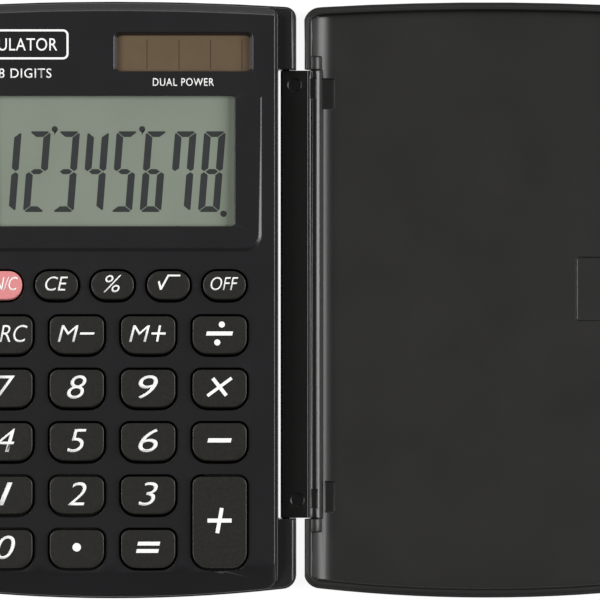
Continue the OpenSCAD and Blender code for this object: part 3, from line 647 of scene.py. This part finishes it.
FIGURE_W = 3.52 * MM
FIGURE_H = 13.2 * MM
FIGURE_PITCH = 4.77 * MM
FIGURE_SLANT = math.tan(math.radians(4.5))
UPRIGHT_T = 1.13 * MM  # width of a figure's upright strokes
LEVEL_T = 0.93 * MM  # height of its level strokes
STROKE_GAP = 0.16 * MM
CLIP = 0.42 * MM  # how much is cut off a figure's outer corners
FIRST_FIGURE = 19.49 * MM  # the first figure starts this far left of the window's middle
FIGURE_FOOT = 8.3 * MM  # the figures stand this far below the window's middle

# Which strokes are dark, from a at the top clockwise to f, then g in the middle. The seven has its left stroke too
STROKES = {
    "1": "bc", "2": "abged", "3": "abgcd", "4": "fgbc", "5": "afgcd", "6": "afgedc", "7": "fabc", "8": "abcdefg",
}


def level_stroke():
    """The top stroke of a figure, cut along the corner diagonals."""
    w, h, gap = FIGURE_W, FIGURE_H, STROKE_GAP / 2
    half = [(CLIP, h), (CLIP / 2 + gap, h - CLIP / 2), (UPRIGHT_T + gap, h - LEVEL_T)]
    return half + [(w - x, y) for x, y in reversed(half)]


def upright_stroke():
    """The upper left stroke of a figure, pointed at its middle."""
    h, gap = FIGURE_H, STROKE_GAP / 2
    middle = h / 2
    return [
        (0, h - CLIP), (0, middle + LEVEL_T * 0.45), (UPRIGHT_T * 0.42, middle + gap),
        (UPRIGHT_T, middle + LEVEL_T / 2 + gap), (UPRIGHT_T, h - LEVEL_T - gap), (CLIP / 2, h - CLIP / 2 - gap),
    ]


def middle_stroke():
    """The middle stroke, pointed at both ends."""
    w, middle, gap = FIGURE_W, FIGURE_H / 2, STROKE_GAP
    half = [(UPRIGHT_T * 0.5 + gap, middle), (UPRIGHT_T + gap, middle + LEVEL_T * 0.45)]
    upper = half + [(w - x, y) for x, y in reversed(half)]
    return upper + [(x, 2 * middle - y) for x, y in reversed(upper[1:-1])]


def stroke(letter):
    """The outline of one stroke, as points."""
    def across(points):
        return [(FIGURE_W - x, y) for x, y in points]

    def down(points):
        return [(x, FIGURE_H - y) for x, y in points]

    return {
        "a": level_stroke(), "d": down(level_stroke()), "g": middle_stroke(),
        "f": upright_stroke(), "b": across(upright_stroke()),
        "e": down(upright_stroke()), "c": down(across(upright_stroke())),
    }[letter]


def display_figures():
    """The figures 12'345'678. in darkened crystal, under the window."""
    low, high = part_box("display_lens")
    window = (low + high) / 2
    first = window.x - FIRST_FIGURE
    foot = window.y - FIGURE_FOOT
    bm = bmesh.new()
    for place, figure in enumerate("12345678"):
        for letter in STROKES[figure]:
            outline(bm, [(x + place * FIGURE_PITCH + FIGURE_SLANT * y, y) for x, y in stroke(letter)])
    for place in (1, 4):
        x = (place + 1) * FIGURE_PITCH + 0.42 * MM
        y = FIGURE_H + 0.35 * MM
        dot(bm, x, y, 0.5 * MM)
        outline(bm, [(x + 0.5 * MM, y - 0.1 * MM), (x - 0.1 * MM, y - 1.0 * MM), (x - 0.05 * MM, y - 0.3 * MM)])
    dot(bm, 7 * FIGURE_PITCH + FIGURE_W + 0.66 * MM, -0.3 * MM, 0.53 * MM)
    printed(bm, "display_figures", "body", Vector((first, foot, low.z + INK_LIFT)), MATERIALS["display_ink"],
            "display_ink")


def display_window():
    """The clear window, raised off the figures by the thickness of their ink."""
    low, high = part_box("display_lens")
    bm = bmesh.new()
    bmesh.ops.create_cube(bm, size=1.0)
    lift = 4 * INK
    bmesh.ops.scale(bm, verts=bm.verts, vec=(high.x - low.x, high.y - low.y, high.z - low.z - lift))
    bmesh.ops.translate(bm, verts=bm.verts, vec=(low + high) / 2 + Vector((0, 0, lift / 2)))
    upright = [e for e in bm.edges if abs(e.verts[0].co.z - e.verts[1].co.z) > lift]
    bmesh.ops.bevel(bm, geom=upright, offset=0.55 * MM, offset_type="OFFSET", segments=6, profile=0.5,
                    affect="EDGES", material=-1)
    level = [e for e in bm.edges if e.verts[0].co.z > high.z - lift / 2 and e.verts[1].co.z > high.z - lift / 2
             and e.calc_face_angle(0) > 1]
    bmesh.ops.bevel(bm, geom=level, offset=0.06 * MM, offset_type="OFFSET", segments=2, profile=0.5,
                    affect="EDGES", material=-1)
    piece_of(bm, "window", "body", MATERIALS["clear_acrylic"], "clear_acrylic", "display_lens")


# ---- Solar cell ----

CELL_LINES = [-5.98, -0.74, 4.42, 9.55]  # of the cell's middle, in millimetres


def solar_lines():
    """The fine dark lines that part the cell's strips."""
    low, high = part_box("solar_cell")
    middle = (low + high) / 2
    bm = bmesh.new()
    for x in CELL_LINES:
        bar(bm, (x * MM, low.y - middle.y + 1 * MM), (x * MM, high.y - middle.y - 1 * MM), 0.13 * MM)
    printed(bm, "solar_cell_lines", "body", Vector((middle.x, middle.y, high.z + INK_LIFT)), CELL_LINE,
            "amorphous_silicon", INK / 2)


# ---- Everything that is shown as it comes ----

def dress_plain_nodes():
    """Gives each remaining CAD node the material of its slot."""
    for row in frame["record"]["subparts"]:
        mesh = frame["nodes"][row["node"]].data
        mesh.materials.clear()
        mesh.materials.append(MATERIALS[row["material_slot"]])


# ---- Table, light and camera ----

def light_table():
    """A white light table: mostly its own glow, so that shadows on it are faint."""
    bm = bmesh.new()
    bmesh.ops.create_grid(bm, x_segments=1, y_segments=1, size=3.0)
    bmesh.ops.translate(bm, verts=bm.verts, vec=(0, 0, -0.02 * MM))
    mesh = bpy.data.meshes.new("light_table")
    bm.to_mesh(mesh)
    bm.free()
    table = bpy.data.objects.new("light_table", mesh)
    bpy.context.scene.collection.objects.link(table)
    material, tree, _ = new_material("opal_sheet")
    surface(tree, {
        "Base Color": [0.14, 0.14, 0.14, 1.0],
        "Roughness": 0.9,
        "Specular IOR Level": 0.0,
        "Emission Color": [1.0, 1.0, 1.0, 1.0],
        "Emission Strength": 0.92,
    })
    mesh.materials.append(material)


def softbox(name, place, target, size, power):
    """A square soft light at place, facing target."""
    data = bpy.data.lights.new(name, "AREA")
    data.shape = "RECTANGLE"
    data.size, data.size_y = size
    data.energy = power
    lamp = bpy.data.objects.new(name, data)
    bpy.context.scene.collection.objects.link(lamp)
    lamp.location = place
    lamp.rotation_euler = (Vector(target) - Vector(place)).to_track_quat("-Z", "Y").to_euler()


def lights():
    softbox("left_softbox", (-0.95, 0.1, 0.92), (0, 0, 0), (0.8, 0.5), 13)
    softbox("right_softbox", (1.1, 0.1, 0.75), (0, 0, 0), (0.8, 0.9), 20)
    softbox("far_softbox", (0, 1.25, 0.4), (0, 0, 0), (1.0, 0.4), 1.8)
    world = bpy.data.worlds.new("room")
    bpy.context.scene.world = world
    world.use_nodes = True
    world.node_tree.nodes["Background"].inputs["Color"].default_value = [1.0, 1.0, 1.0, 1.0]
    world.node_tree.nodes["Background"].inputs["Strength"].default_value = 0.1
    bpy.context.scene.view_settings.view_transform = "Standard"


FACE_Z = 5 * MM
FRAME_W = 98.3 * MM  # width that the camera sees at the height FACE_Z
LENS = 250
SENSOR = 36


def camera():
    """A long lens straight above the hinge."""
    data = bpy.data.cameras.new("camera")
    data.lens = LENS
    data.sensor_width = SENSOR
    seat = bpy.data.objects.new("camera", data)
    bpy.context.scene.collection.objects.link(seat)
    seat.location = (0, 0, FRAME_W * LENS / SENSOR + FACE_Z)
    bpy.context.scene.camera = seat


dress_plain_nodes()
case_and_cover()
keys()
key_legends()
face_printing()
display_figures()
display_window()
solar_lines()
light_table()
lights()
camera()
bpy.context.view_layer.update()
